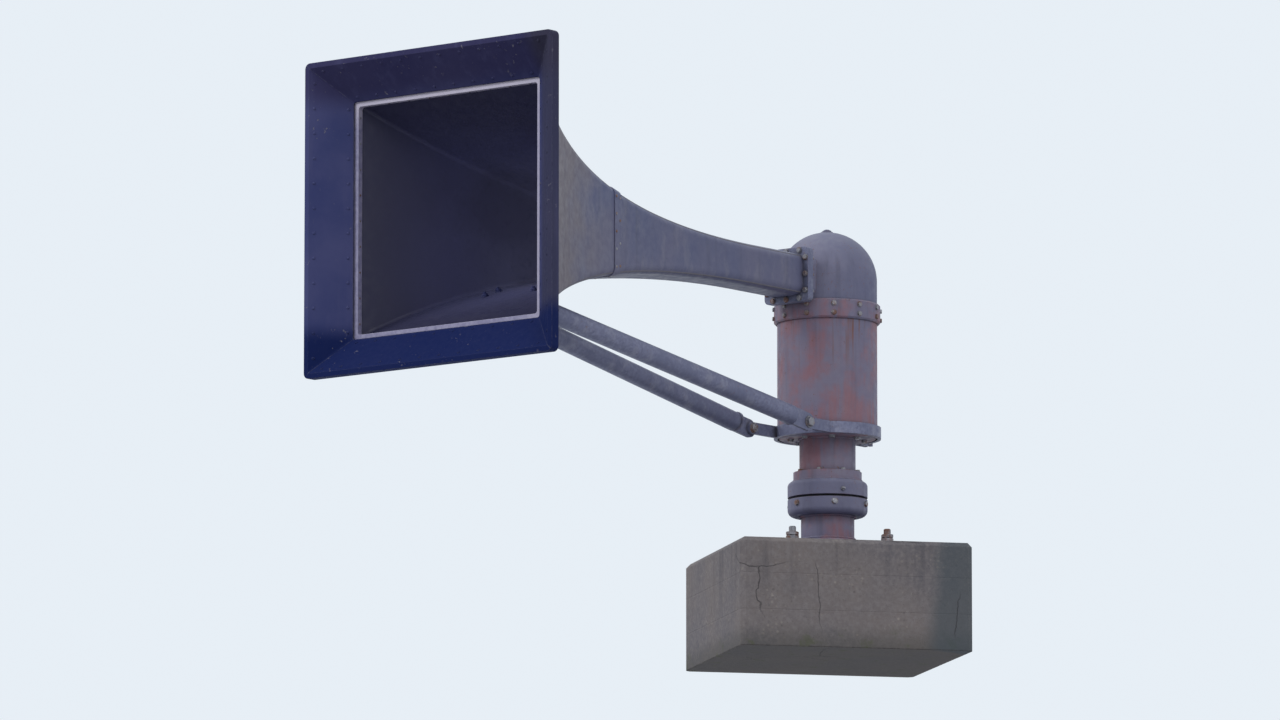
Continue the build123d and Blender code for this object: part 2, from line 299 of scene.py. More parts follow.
def weathered_paint(name, paint, faded, rust_amount, red_cast=None):
    """Old matt paint on metal: chalky where it faces up, streaked by rain, rusty at its edges."""
    coat = Finish(name, roughness=0.62, shine=0.35, rounding=0.0025)
    fine = coat.mottle(0.018, detail=6, roughness=0.6)
    colour = coat.blend(coat.patches(0.22, 0.32, 0.7, detail=4), paint, faded)
    if red_cast:
        bleeding = coat.patches(0.12, 0.40, 0.58, detail=7, roughness=0.62)
        streaky = coat.patches(0.02, 0.3, 0.6, stretch=(1, 1, 0.12))
        colour = coat.blend(coat.product(bleeding, streaky, 0.85), colour, red_cast)
    up = coat.upward(0.15, 0.95)
    runs = coat.patches(0.035, 0.5, 0.78, stretch=(1, 1, 0.07))
    colour = coat.layers(
        colour,
        (coat.product(up, coat.between(fine, 0.3, 0.8)), 0.45, shade(136, 140, 152)),
        (coat.product(runs, coat.reverse(up)), 0.42, shade(62, 62, 78)),
        # painted shade: the paint is darkened deep in corners and crevices
        (coat.corners(0.03), 0.38, shade(56, 54, 66)),
    )
    spots = coat.patches(0.007, 0.60, 0.66, roughness=0.65)
    clusters = coat.patches(0.09, 0.50, 0.64, detail=4)
    worn = coat.product(coat.edges(0.003), coat.between(fine, 0.42, 0.58))
    rust = coat.greatest(coat.product(spots, clusters), worn, band_runs(coat))
    rust = coat.product(rust, rust_amount)
    rusty = coat.blend(fine, shade(78, 48, 38), shade(128, 82, 58))
    coat.colour(coat.blend(rust, colour, rusty))
    coat.gloss(coat.between(fine, 0.3, 0.75), 0.5, 0.78)
    coat.relief(fine, 0.0006, 0.5)
    coat.relief(coat.mottle(0.0035, detail=3), 0.0003, 0.45)
    coat.relief(rust, 0.0005, 0.6)
    return coat.material


def band_runs(coat):
    """Thin rust runs down the housing from the screws of its band."""
    height = coat.axis("Z")
    below = coat.between(height, band_low.z + 0.001, band_low.z - 0.001)
    fading = coat.between(height, band_low.z - 0.19, band_low.z)
    thin = coat.patches(0.012, 0.55, 0.70, detail=4, stretch=(1, 1, 0.035))
    return coat.product(below, fading, thin)


def horn_gelcoat():
    """Dulled gelcoat outside with rain runs and stains, painted shade in its corners, and dark
    paint inside, painted paler deeper in against the shade there.
    """
    coat = Finish("horn_gelcoat", roughness=0.5, shine=0.3, rounding=0.002)
    fine = coat.mottle(0.02, detail=6, roughness=0.6)
    broad = coat.mottle(0.30, detail=4)
    distance = coat.reckon("ADD", coat.axis("Y"), MOUTH_REACH)
    near_mouth = coat.between(distance, 0.685, 0.335)
    warm = coat.product(near_mouth, coat.between(broad, 0.35, 0.6))
    up = coat.upward(0.1, 0.9)
    runs = coat.patches(0.03, 0.5, 0.76, stretch=(1, 1, 0.06))
    chalk = coat.patches(0.045, 0.50, 0.66, detail=8, roughness=0.68, stretch=(1, 1, 0.4))
    grime = coat.patches(0.009, 0.60, 0.68, detail=6, roughness=0.7)
    outside = coat.layers(
        coat.blend(coat.between(broad, 0.3, 0.7), shade(77, 83, 114), shade(91, 92, 117)),
        (warm, 0.75, shade(104, 98, 102)),
        (up, 0.4, shade(128, 132, 150)),
        (coat.product(runs, coat.reverse(up)), 0.35, shade(64, 66, 84)),
        (chalk, 0.22, shade(124, 124, 134)),
        (coat.product(grime, coat.patches(0.16, 0.46, 0.62)), 0.45, shade(66, 66, 72)),
        # painted shade: the gelcoat is darkened deep in corners and where it meets other parts
        (coat.corners(0.025), 0.5, shade(58, 57, 66)),
    )
    inside = coat.layers(
        shade(42, 42, 68),
        # painted light: the inside turns paler towards the throat to even out the shade that
        # deepens there
        (coat.between(distance, 0.10, 0.45), 1, shade(86, 88, 126)),
        (coat.between(distance, 0.32, 0.85), 1, shade(176, 178, 212)),
        (coat.between(broad, 0.4, 0.7), 0.35, shade(50, 48, 66)),
        (coat.between(fine, 0.5, 0.8), 0.25, shade(66, 66, 86)),
    )
    coat.colour(coat.blend(inner_side(coat), outside, inside))
    coat.gloss(coat.between(fine, 0.3, 0.75), 0.42, 0.66)
    coat.relief(fine, 0.00018, 0.5)
    coat.relief(coat.mottle(0.002, detail=2), 0.00006, 0.5)
    coat.relief(coat.mottle(0.14, detail=2), 0.003, 0.2)
    return coat.material


def inner_side(coat):
    """1 on the horn's inner faces, which look towards its axis."""
    away = coat.vector("SUBTRACT", coat.place["Object"], (0, 0, horn_height))
    across = coat.vector("MULTIPLY", away, (1, 0, 1))
    outward = coat.vector("DOT_PRODUCT", across, coat.place["Normal"])
    return coat.between(outward, 0.001, -0.001)


def mouth_paint():
    """Dark blue paint on the dished lip, chipped all over, with painted shade: darker at its top,
    greyer at the right, deeper below.
    """
    coat = Finish("mouth_paint", roughness=0.7, shine=0.06, rounding=0.003)
    fine = coat.mottle(0.016, detail=6, roughness=0.62)
    height = coat.axis("Z")
    runs = coat.patches(0.025, 0.5, 0.75, stretch=(1, 1, 0.06))
    scuffs = coat.patches(0.008, 0.66, 0.74, stretch=(1, 1, 0.4))
    worn = coat.product(coat.edges(0.004), coat.between(fine, 0.35, 0.65))
    chips = coat.patches(0.016, 0.635, 0.645, detail=7, roughness=0.68)
    bare = coat.product(chips, coat.patches(0.14, 0.48, 0.60, detail=4))
    coat.colour(coat.layers(
        shade(55, 62, 106),
        (coat.patches(0.25, 0.35, 0.68, detail=4), 1, shade(69, 73, 114)),
        # painted shade: the top of the lip is darkened
        (coat.between(height, horn_height + 0.28, horn_height + 0.36), 0.7, shade(46, 42, 74)),
        # painted shade: the right side of the lip is greyed and darkened
        (coat.between(coat.axis("X"), 0.31, 0.37), 0.7, shade(52, 51, 64)),
        (runs, 0.25, shade(76, 78, 116)),
        # painted shade: the bottom of the lip, which faces up into the light, is made much deeper
        (coat.between(height, horn_height - 0.27, horn_height - 0.33), 0.92, shade(10, 26, 74)),
        (scuffs, 0.3, shade(84, 86, 112)),
        (worn, 0.6, shade(98, 100, 122)),
        (bare, 0.8, coat.blend(fine, shade(92, 92, 108), shade(124, 122, 134))),
    ))
    coat.gloss(coat.between(fine, 0.3, 0.7), 0.6, 0.8)
    coat.relief(coat.reverse(bare), 0.0004, 0.7)
    coat.relief(fine, 0.0003, 0.4)
    coat.relief(coat.mottle(0.1, detail=2), 0.002, 0.15)
    return coat.material


def dull_trim():
    """The angle trim at the mouth's break line: dull, lightly pitted metal, with painted light that
    makes it paler at its top and at its right.
    """
    coat = Finish("dull_trim", roughness=0.5, metallic=0.2, rounding=0.0015)
    fine = coat.mottle(0.012, detail=6)
    high = coat.between(coat.axis("Z"), horn_height + 0.24, horn_height + 0.32)
    right = coat.product(coat.between(coat.axis("X"), 0.24, 0.32), 0.4)
    coat.colour(coat.layers(
        shade(122, 120, 152),
        (coat.between(fine, 0.3, 0.72), 1, shade(146, 144, 172)),
        # painted light: the trim is made paler at its top, where the lip shades it, and more
        # faintly at its right
        (coat.greatest(high, right), 0.8, shade(198, 193, 210)),
        (coat.edges(0.002), 0.5, shade(160, 160, 176)),
    ))
    coat.gloss(fine, 0.4, 0.66)
    coat.relief(fine, 0.0003, 0.5)
    return coat.material


def zinc_coat():
    """Weathered galvanised steel: crystals, a dull bloom, and rust at edges and anchors."""
    coat = Finish("zinc_coat", roughness=0.5, metallic=0.35, rounding=0.0015)
    fine = coat.mottle(0.01, detail=6, roughness=0.6)
    dark = shade(96, 100, 126)
    crystals = coat.between(coat.spangle(0.007), 0, 1)
    colour = coat.layers(
        coat.blend(crystals, dark, shade(115, 118, 143)),
        (coat.patches(0.14, 0.35, 0.65, detail=6, roughness=0.6), 1, dark),
        (coat.patches(0.05, 0.50, 0.66, detail=7, roughness=0.65), 0.4, shade(140, 141, 156)),
        # painted shade: the zinc is darkened deep in corners and crevices
        (coat.corners(0.02), 0.6, shade(56, 54, 60)),
    )
    spots = coat.patches(0.014, 0.62, 0.72, roughness=0.68)
    worn = coat.product(coat.edges(0.002), coat.between(fine, 0.4, 0.6))
    rust = coat.product(coat.greatest(spots, worn), 0.5)
    rust = coat.greatest(rust, anchor_stain(coat, 0.020, 0.050))
    rusty = coat.blend(fine, shade(84, 52, 38), shade(132, 88, 62))
    coat.colour(coat.blend(rust, colour, rusty))
    coat.gloss(coat.between(fine, 0.3, 0.7), 0.42, 0.70)
    coat.relief(fine, 0.0003, 0.5)
    coat.relief(rust, 0.0004, 0.6)
    return coat.material


def anchor_stain(coat, near, far):
    """Rust washed out from the anchor bolts: full within near, and gone by about far."""
    turned = coat.add("ShaderNodeMapping", {
        "Vector": coat.place["Object"], "Rotation": (0, 0, -PLINTH_YAW),
    })
    quarter = coat.vector("ABSOLUTE", turned.outputs["Vector"])
    away = coat.vector("SUBTRACT", quarter, (anchor_reach, anchor_reach, 0))
    reach = coat.vector("LENGTH", coat.vector("MULTIPLY", away, (1, 1, 0)))
    stray = far * 0.6
    uneven = coat.product(coat.mottle(0.03, detail=6, roughness=0.6), 2 * stray)
    washed = coat.between(coat.reckon("ADD", reach, uneven), far + stray, near + stray)
    low = coat.between(coat.axis("Z"), plate_top + 0.010, plate_top + 0.004)
    return coat.product(washed, low, coat.upward(0.5, 0.9), 0.75)


def old_concrete():
    """Board-marked concrete with pores, stones, hair cracks, a darker strip at the corner towards
    +X, and rust stains.
    """
    coat = Finish("old_concrete", roughness=0.9, shine=0.2, rounding=0.006)
    fine = coat.mottle(0.012, detail=7, roughness=0.65)
    broad = coat.mottle(0.28)
    height = coat.axis("Z")
    specks = coat.between(coat.cells(0.007), 0.22, 0.0)
    rubbed = coat.patches(0.07, 0.50, 0.62, detail=6, roughness=0.6)
    stones = coat.product(coat.between(coat.cells(0.010), 0.42, 0.30), rubbed)
    stone_tone = coat.blend(coat.spangle(0.010), shade(76, 74, 78), shade(150, 144, 140))
    runs = coat.patches(0.04, 0.46, 0.72, stretch=(1, 1, 0.08))
    near_top = coat.between(height, plinth_top - 0.24, plinth_top)
    splash = coat.between(height, 0.075, 0.0)
    moss = coat.product(coat.patches(0.05, 0.56, 0.7, detail=6), splash)
    sideways = coat.reckon("ADD", coat.axis("X"), coat.product(broad, 0.06))
    worn = coat.product(coat.edges(0.006), coat.between(fine, 0.35, 0.6))
    split = coat.product(coat.cracks(0.30, 0.10), coat.patches(0.35, 0.52, 0.60, detail=2))
    coat.colour(coat.layers(
        shade(98, 97, 104),
        (coat.between(broad, 0.3, 0.7), 1, shade(114, 108, 108)),
        (coat.between(fine, 0.35, 0.75), 1, shade(122, 118, 120)),
        (specks, 1, shade(84, 82, 86)),
        (stones, 0.6, stone_tone),
        (coat.product(runs, near_top), 0.55, shade(66, 66, 74)),
        (splash, 0.55, shade(72, 72, 70)),
        (moss, 0.6, shade(78, 84, 62)),
        # a darker, bluer strip with a wavy edge where X passes about 0.42 m
        (coat.between(sideways, 0.405, 0.445), 0.7, shade(70, 80, 88)),
        (worn, 0.5, shade(140, 136, 134)),
        (anchor_stain(coat, 0.050, 0.120), 1, shade(110, 82, 66)),
        (split, 0.65, shade(52, 51, 54)),
    ))
    boards = coat.reckon("PINGPONG", height, 0.05)
    coat.relief(coat.between(boards, 0.0, 0.0025), 0.0012, 0.6)
    coat.relief(fine, 0.0016, 0.7)
    coat.relief(coat.mottle(0.003, detail=4), 0.0006, 0.6)
    coat.relief(coat.between(coat.cells(0.016), 0.02, 0.12), 0.0014, 0.8)
    coat.relief(coat.reverse(split), 0.0015, 0.8)
    return coat.material


def bedding_mortar():
    """Paler mortar under the base plate, with trowel marks."""
    coat = Finish("bedding_mortar", roughness=0.92)
    fine = coat.grain(0.008, shade(96, 93, 92), shade(132, 128, 124), detail=7, roughness=0.65)
    coat.relief(fine, 0.0016, 0.8)
    coat.relief(coat.mottle(0.05, detail=3, stretch=(1, 1, 3)), 0.002, 0.5)
    return coat.material


def machine_paint():
    """Plain dark machine paint on the parts inside the swivel and the housing."""
    coat = Finish("machine_paint", roughness=0.45)
    fine = coat.grain(0.01, shade(60, 62, 66), shade(82, 84, 90))
    coat.relief(fine, 0.0003, 0.5)
    return coat.material


def bolt_steel():
    """Galvanised fasteners that have begun to rust."""
    coat = Finish("bolt_steel", roughness=0.5, metallic=0.6)
    fine = coat.mottle(0.006, roughness=0.65)
    rusted = coat.patches(0.03, 0.42, 0.62, detail=4)
    zinc = coat.blend(fine, shade(104, 104, 112), shade(146, 146, 152))
    rust = coat.blend(fine, shade(86, 54, 40), shade(140, 92, 62))
    coat.colour(coat.layers(zinc, (rusted, 0.75, rust)))
    coat.gloss(rusted, 0.38, 0.8)
    coat.relief(fine, 0.0003, 0.6)
    return coat.material


def seam_mastic():
    """Grey mastic pressed into a seam."""
    coat = Finish("seam_mastic", roughness=0.7)
    coat.grain(0.012, shade(78, 78, 90), shade(106, 104, 114))
    coat.relief(coat.mottle(0.02, detail=3), 0.0015, 0.6)
    return coat.material


def black_rubber():
    """Aged rubber, greyed on its face."""
    coat = Finish("black_rubber", roughness=0.75)
    fine = coat.grain(0.01, shade(26, 26, 30), shade(56, 56, 60))
    coat.relief(fine, 0.0003, 0.5)
    return coat.material


finishes = {
    "concrete": old_concrete(),
    "galvanised_steel": zinc_coat(),
    "housing_paint": weathered_paint(
        "housing_paint",
        paint=shade(104, 102, 126),
        faded=shade(117, 111, 130),
        rust_amount=0.8,
        red_cast=shade(130, 94, 104),
    ),
    "cast_housing": weathered_paint(
        "cast_paint", paint=shade(92, 95, 122), faded=shade(108, 108, 131), rust_amount=0.6
    ),
    "horn_skin": horn_gelcoat(),
    "mouth_dark": mouth_paint(),
    "bead_trim": dull_trim(),
    "hidden_steel": machine_paint(),
}
bolt_finish = bolt_steel()
mortar_finish = bedding_mortar()
mastic_finish = seam_mastic()
rubber_finish = black_rubber()

for part in frame["record"]["subparts"]:
    slots = frame["nodes"][part["node"]].data.materials
    slots.clear()
    slots.append(finishes[part["material_slot"]])


def keep_piece(bm, name, body, slot, finish=None, smooth_degrees=35):
    """Turns finished mesh work into a named piece that rides on a body.

    Where two stacked rods share a ring, the cap between them is buried and taken out.
    """
    bmesh.ops.remove_doubles(bm, verts=bm.verts, dist=1e-6)
    buried = [f for f in bm.faces if all(len(e.link_faces) > 2 for e in f.edges)]
    bmesh.ops.delete(bm, geom=buried, context="FACES_ONLY")
    bmesh.ops.recalc_face_normals(bm, faces=bm.faces)
    mesh = bpy.data.meshes.new(name)
    bm.to_mesh(mesh)
    bm.free()
    mesh.shade_smooth()
    mesh.set_sharp_from_angle(angle=math.radians(smooth_degrees))
    mesh.materials.append(finish or finishes[slot])
    piece = bpy.data.objects.new(name, mesh)
    bpy.context.scene.collection.objects.link(piece)
    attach(piece, body)
    return piece


def keep_bolts(bm, name, body=HEAD):
    """Keeps a piece made of bolts, screws or nuts."""
    return keep_piece(bm, name, body, "galvanised_steel", bolt_finish)


def along(start, direction):
    """A transform that carries +Z onto a direction from a starting point."""
    turn = direction.to_track_quat("Z", "Y").to_matrix().to_4x4()
    return Matrix.Translation(start) @ turn


def sized(position, size):
    """A transform that scales a shape by a size along each axis and puts it at a position."""
    return Matrix.Translation(position) @ Matrix.Diagonal((*size, 1))


def add_rod(bm, start, direction, length, radius, end_radius=None, segments=24, turn=0.0):
    """A round rod or cone from a point along a direction."""
    middle = Matrix.Rotation(turn, 4, "Z") @ Matrix.Translation((0, 0, length / 2))
    bmesh.ops.create_cone(
        bm,
        cap_ends=True,
        segments=segments,
        radius1=radius,
        radius2=radius if end_radius is None else end_radius,
        depth=length,
        matrix=along(start, direction) @ middle,
    )


def add_hex(bm, seat, direction, across_flats, height, turn=0.0):
    """A hexagon head or nut with its chamfered outer corners."""
    radius = across_flats / math.sqrt(3)
    chamfer = height * 0.18
    body = height - chamfer
    shoulder = seat + direction * body
    add_rod(bm, seat, direction, body, radius, segments=6, turn=turn)
    add_rod(bm, shoulder, direction, chamfer, radius, radius * 0.86, segments=6, turn=turn)


def add_bolt(bm, seat, direction, size, turn=0.0, stud=0.0):
    """A washer with a hexagon on it, and the thread's end where one stands proud."""
    washer = size * 0.16
    head = size * 0.62
    add_rod(bm, seat, direction, washer, radius=size * 1.05, segments=20)
    add_hex(bm, seat + direction * washer, direction, size * 1.55, head, turn)
    if stud:
        thread = seat + direction * (washer + head)
        tip = thread + direction * stud
        add_rod(bm, thread, direction, stud, radius=size * 0.5, segments=16)
        add_rod(bm, tip, direction, size * 0.12, size * 0.5, size * 0.4, segments=16)


def add_rivet(bm, seat, direction, radius):
    """A domed rivet head."""
    brim = radius * 0.3
    shoulder = radius * 0.86
    add_rod(bm, seat, direction, brim, radius, shoulder, segments=14)
    crown = seat + direction * brim
    add_rod(bm, crown, direction, radius * 0.22, shoulder, radius * 0.45, segments=14)


def spun_ring(bm, radius, section_radius, segments, steps):
    """A ring of round section round the turning axis at height 0, as its vertices."""
    before = set(bm.verts)
    place = Matrix.Translation(RIGHT * radius) @ UPRIGHT
    section = bmesh.ops.create_circle(
        bm, cap_ends=False, segments=segments, radius=section_radius, matrix=place
    )["verts"]
    edges = list({e for v in section for e in v.link_edges})
    bmesh.ops.spin(
        bm, geom=section + edges, cent=(0, 0, 0), axis=UP, angle=math.tau, steps=steps,
        use_merge=True,
    )
    return [v for v in bm.verts if v not in before]


def add_weld(bm, height, radius, size, ripples):
    """A rippled weld bead round the turning axis."""
    made = spun_ring(bm, radius, size, segments=10, steps=ripples * 4)
    for v in made:
        bearing = math.atan2(v.co.y, v.co.x)
        middle = Vector((math.cos(bearing), math.sin(bearing), 0)) * radius
        swell = 1 + 0.14 * math.sin(bearing * ripples)
        v.co = middle + (v.co - middle) * swell
    bmesh.ops.translate(bm, verts=made, vec=UP * height)


def start_tube(bm, radius, place):
    """The closed round start of a tube, as its face alone in a list."""
    circle = bmesh.ops.create_circle(bm, cap_ends=True, segments=10, radius=radius, matrix=place)
    return [circle["verts"][0].link_faces[0]]


def push_cap(bm, cap, step, first):
    """Moves a tube's end on by a step and walls the way, as the new end and its vertices.

    The first end stays as the tube's closed start, and each later one is taken out.
    """
    grown = bmesh.ops.extrude_face_region(bm, geom=cap)["geom"]
    verts = [g for g in grown if isinstance(g, bmesh.types.BMVert)]
    bmesh.ops.translate(bm, verts=verts, vec=step)
    if not first:
        bmesh.ops.delete(bm, geom=cap, context="FACES_ONLY")
    return [g for g in grown if isinstance(g, bmesh.types.BMFace)], verts


def ring_of_spots(count, first_degrees, radius, height):
    """Even places on a circle round the turning axis, each with its number and way out."""
    for i in range(count):
        bearing = math.radians(first_degrees + 360 / count * i)
        out = Vector((math.cos(bearing), math.sin(bearing), 0))
        yield i, out, out * radius + UP * height


def even_row(reach, gaps):
    """Even places from -reach to reach, with this many gaps between them."""
    return [reach * (2 * i / gaps - 1) for i in range(gaps + 1)]


def four_sides():
    """The turn about the horn's axis of its top, right, bottom and left side."""
    return [Matrix.Rotation(math.radians(90 * i), 3, "Y") for i in range(4)]


def on_side(turn, distance, along_side, out):
    """A point on one side of the horn: along the side, and out from the axis."""
    local = turn @ Vector((along_side, 0, out))
    return horn_point(distance, local.x, local.z)


def anchor_bolts():
    """Four studs with double nuts and washers that hold the base plate down."""
    bm = bmesh.new()
    turn = Matrix.Rotation(PLINTH_YAW, 3, "Z")
    for i, (x, y) in enumerate(FOUR_CORNERS):
        spot = turn @ Vector((x * anchor_reach, y * anchor_reach, plate_top))
        lock_nut = spot + UP * 0.016
        add_bolt(bm, spot, UP, size=0.020, turn=0.4 * i, stud=0.022)
        add_hex(bm, lock_nut, UP, across_flats=0.031, height=0.009, turn=0.3 + 0.5 * i)
    keep_bolts(bm, "anchor_bolts", BASE)


def mortar_bed():
    """The sloped, uneven mortar edge round the base plate."""
    bm = bmesh.new()
    height = 0.009
    foot_half = plate_half + 0.016
    top_half = plate_half + 0.002
    middle = UP * (plinth_top + height / 2)
    place = sized(middle, (2 * foot_half, 2 * foot_half, height))
    bmesh.ops.create_cube(bm, size=1, matrix=place)
    top = [v for v in bm.verts if v.co.z > middle.z]
    share = top_half / foot_half
    bmesh.ops.scale(bm, vec=(share, share, 1), verts=top)
    bmesh.ops.subdivide_edges(bm, edges=bm.edges, cuts=24, use_grid_fill=True)
    for v in bm.verts:
        wave = math.sin(v.co.x * 61) * math.cos(v.co.y * 47) + math.sin(v.co.y * 83 + v.co.x * 29)
        v.co.x *= 1 + 0.010 * wave
        v.co.y *= 1 + 0.008 * wave
    turn = Matrix.Rotation(PLINTH_YAW, 3, "Z")
    bmesh.ops.rotate(bm, verts=bm.verts, cent=(0, 0, 0), matrix=turn)
    keep_piece(bm, "mortar_bed", BASE, "concrete", mortar_finish, 50)


def pipe_welds():
    """Weld beads at the foot ring of the standpipe and under the swivel's collar."""
    bm = bmesh.new()
    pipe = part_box("standpipe")[1]
    ring_low, ring_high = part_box("standpipe_foot_ring")
    proud = 0.001
    add_weld(bm, ring_low.z + proud, ring_high.x + proud, size=0.004, ripples=90)
    add_weld(bm, ring_high.z, pipe.x + proud, size=0.0035, ripples=80)
    add_weld(bm, pipe.z - proud, pipe.x + proud, size=0.004, ripples=80)
    keep_piece(bm, "standpipe_welds", BASE, "housing_paint", smooth_degrees=60)


def collar_screws():
    """Six screws round the fixed collar."""
    bm = bmesh.new()
    for i, out, spot in ring_of_spots(6, 18, collar_radius - 0.0015, collar_top - 0.014):
        add_bolt(bm, spot, out, size=0.009, turn=0.5 * i)
    keep_bolts(bm, "collar_screws", BASE)


def grease_nipples():
    """Two grease nipples in the side of the turntable."""
    bm = bmesh.new()
    hexagon = 0.005
    neck = 0.006
    for _, out, spot in ring_of_spots(2, 150, collar_radius - 0.001, turntable_top - 0.030):
        add_hex(bm, spot, out, across_flats=0.011, height=hexagon)
        add_rod(bm, spot + out * hexagon, out, neck, radius=0.0032, segments=16)
        add_rod(bm, spot + out * (hexagon + neck), out, 0.004, 0.0042, 0.0024, segments=16)
    keep_bolts(bm, "grease_nipples")


def swivel_seal():
    """A rubber wiper ring in the gap between the collar and the turntable."""
    bm = bmesh.new()
    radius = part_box("bearing_ring")[1].x + 0.005
    ring = spun_ring(bm, radius, section_radius=0.0026, segments=12, steps=96)
    bmesh.ops.translate(bm, verts=ring, vec=UP * (collar_top + 0.0032))
    keep_piece(bm, "swivel_seal", BASE, "hidden_steel", rubber_finish, 60)


def neck_bolts():
    """Eight bolts through the neck's ring into the turntable, and the neck's welds."""
    bolts = bmesh.new()
    circle = NECK_RADIUS + NECK_RING_WIDTH / 2
    for i, _, spot in ring_of_spots(8, 22.5, circle, turntable_top + NECK_RING_HEIGHT):
        add_bolt(bolts, spot, UP, size=0.0075, turn=0.7 * i)
    keep_bolts(bolts, "neck_bolts")
    welds = bmesh.new()
    ring_radius = NECK_RADIUS + NECK_RING_WIDTH
    add_weld(welds, turntable_top + 0.0005, ring_radius, size=0.0035, ripples=90)
    add_weld(welds, housing_floor - 0.0006, NECK_RADIUS + 0.0008, size=0.004, ripples=80)
    keep_piece(welds, "neck_welds", HEAD, "housing_paint", smooth_degrees=60)


def pan_bolts():
    """Eight bolts under the housing's floor that hold the motor."""
    bm = bmesh.new()
    for i, _, spot in ring_of_spots(8, 0, 0.103, housing_floor):
        add_bolt(bm, spot, DOWN, size=0.009, turn=0.6 * i)
    keep_bolts(bm, "pan_bolts")


def band_screws():
    """Two rows of screws round the band that joins the housing to the casing."""
    bm = bmesh.new()
    inset = 0.014
    for row, height in enumerate((band_low.z + inset, band_high.z - inset)):
        for i, out, spot in ring_of_spots(12, 15, band_high.x - 0.0006, height):
            add_bolt(bm, spot, out, size=0.0075, turn=0.8 * i + row)
    keep_bolts(bm, "band_screws")


def dome_plug():
    """A low painted plug on a washer in the crown of the casing."""
    bm = bmesh.new()
    crown = UP * (casing_top - 0.0012)
    washer = 0.0025
    add_rod(bm, crown, UP, washer, radius=0.019, end_radius=0.017, segments=32)
    add_hex(bm, crown + UP * washer, UP, across_flats=0.022, height=0.005)
    button = sized(crown + UP * 0.007, (1, 1, 0.4))
    bmesh.ops.create_uvsphere(bm, u_segments=20, v_segments=10, radius=0.009, matrix=button)
    keep_piece(bm, "dome_plug", HEAD, "cast_housing")


def throat_bolts():
    """Bolts through the throat flange, with their nuts behind it."""
    bm = bmesh.new()
    half = (THROAT_HALF + flange_back.x) / 2
    for number, turn in enumerate(four_sides()):
        for spread in even_row(reach=0.046, gaps=2):
            front = on_side(turn, flange_front.y + MOUTH_REACH, spread, half)
            rear = on_side(turn, flange_back.y + MOUTH_REACH, spread, half)
            add_bolt(bm, front, FORWARD, size=0.008, turn=number + spread * 9)
            add_bolt(bm, rear, BACK, size=0.008, turn=number, stud=0.004)
    keep_bolts(bm, "throat_bolts")


def corner_seams():
    """A line of mastic down each outer corner of the horn, where its panels meet."""
    bm = bmesh.new()
    steps = 60
    start = LIP_DEPTH + 0.004
    end = flange_front.y + MOUTH_REACH
    for x, z in FOUR_CORNERS:
        spot = seam_point(start, x, z)
        cap = start_tube(bm, radius=0.0032, place=Matrix.Translation(spot) @ UPRIGHT)
        for i in range(1, steps + 1):
            next_spot = seam_point(start + (end - start) * i / steps, x, z)
            cap, _ = push_cap(bm, cap, next_spot - spot, first=i == 1)
            spot = next_spot
    keep_piece(bm, "corner_seams", HEAD, "horn_skin", mastic_finish, 60)


def seam_point(distance, x, z):
    """A point just inside the skin at one of the horn's four outer corners."""
    sunk = 0.0015
    out = horn_half(distance) - horn_corner(distance) * (1 - math.sqrt(0.5)) - sunk
    return horn_point(distance, x * out, z * out)


def square_loop(bm, distance, half, corner):
    """A rounded-square line round the horn's axis, as the edges of a new mesh."""
    grid = bmesh.ops.create_grid(bm, x_segments=1, y_segments=1, size=half)["verts"]
    bmesh.ops.bevel(
        bm, geom=grid, offset=corner, offset_type="OFFSET", segments=5, profile=0.5,
        affect="VERTICES", material=-1,
    )
    bmesh.ops.delete(bm, geom=bm.faces[:], context="FACES_ONLY")
    place = Matrix.Translation(horn_point(distance, 0, 0)) @ UPRIGHT
    bmesh.ops.transform(bm, matrix=place, verts=bm.verts)
    return bm.edges[:]


def joint_strap():
    """The flat strap round the horn over the joint of bell and neck."""
    bm = bmesh.new()
    start = BELL_JOINT - STRAP_WIDTH / 2
    end = BELL_JOINT + STRAP_WIDTH / 2
    under = 0.0002
    distance = start
    half = horn_half(start) + under
    first = square_loop(bm, start, half, horn_corner(start) + under)
    edges = first
    for new_distance, proud in ((start, STRAP_THICKNESS), (end, STRAP_THICKNESS), (end, under)):
        grown = bmesh.ops.extrude_edge_only(bm, edges=edges)["geom"]
        verts = [g for g in grown if isinstance(g, bmesh.types.BMVert)]
        edges = [g for g in grown if isinstance(g, bmesh.types.BMEdge)]
        new_half = horn_half(new_distance) + proud
        growth = new_half / half
        axis = Matrix.Translation(-horn_point(distance, 0, 0))
        bmesh.ops.scale(bm, vec=(growth, 1, growth), space=axis, verts=verts)
        bmesh.ops.translate(bm, vec=BACK * (new_distance - distance), verts=verts)
        distance = new_distance
        half = new_half
    bmesh.ops.bridge_loops(bm, edges=first + edges)
    keep_piece(bm, "bell_joint_strap", HEAD, "horn_skin")


def strap_rivets():
    """Two rows of rivets along the joint's strap, on all four sides of the horn."""
    bm = bmesh.new()
    spacing = 0.055
    for turn in four_sides():
        for distance in (BELL_JOINT - 0.010, BELL_JOINT + 0.010):
            half = horn_half(distance)
            reach = half - 0.022
            for spread in even_row(reach, gaps=round(2 * reach / spacing)):
                seat = on_side(turn, distance, spread, half + STRAP_THICKNESS)
                add_rivet(bm, seat, turn @ UP, radius=0.0042)
    keep_bolts(bm, "bell_joint_rivets")


def bead_rivets():
    """Rivets round the trim inside the mouth."""
    bm = bmesh.new()
    low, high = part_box("mouth_bead")
    distance = (low.y + high.y) / 2 + MOUTH_REACH
    half = horn_half(high.y + MOUTH_REACH) - HORN_WALL - BEAD_THICKNESS
    for turn in four_sides():
        for spread in even_row(half - 0.03, gaps=8):
            seat = on_side(turn, distance, spread, half + RIVET_SINK)
            add_rivet(bm, seat, turn @ DOWN, radius=0.0035)
    keep_piece(bm, "bead_rivets", HEAD, "bead_trim", bolt_finish)


